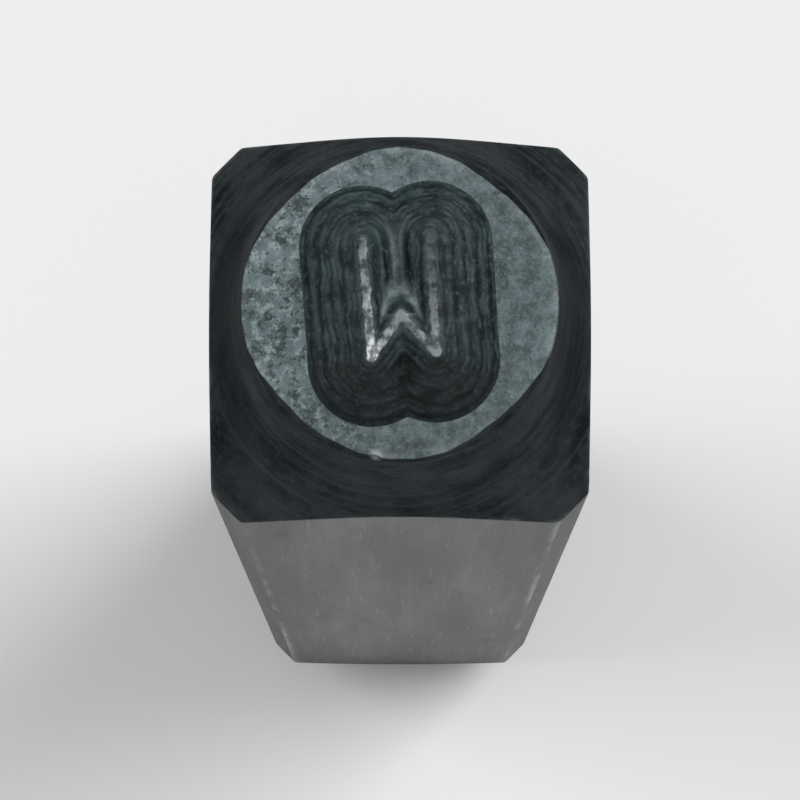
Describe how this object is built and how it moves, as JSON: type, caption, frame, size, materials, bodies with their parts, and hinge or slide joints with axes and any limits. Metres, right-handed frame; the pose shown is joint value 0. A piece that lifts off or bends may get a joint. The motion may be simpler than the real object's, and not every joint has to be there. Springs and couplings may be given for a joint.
{
  "type": "steel letter punch",
  "caption": "Square steel hand punch with a turned neck and a raised capital letter on its round face, standing on its struck end.",
  "frame": {"origin": "centre of the flat struck end", "axes": "+Z along the punch toward the letter, +X across the letter, -Y toward the letter's shoulders"},
  "size_m": [0.0064, 0.0064, 0.06],
  "materials": {
    "black_steel": "black oxide on ground and turned steel, satin, with bright wear on the letter's crest and along the sharp edges"
  },
  "bodies": {
    "root": {"punch": "black_steel"}
  },
  "joints": []
}
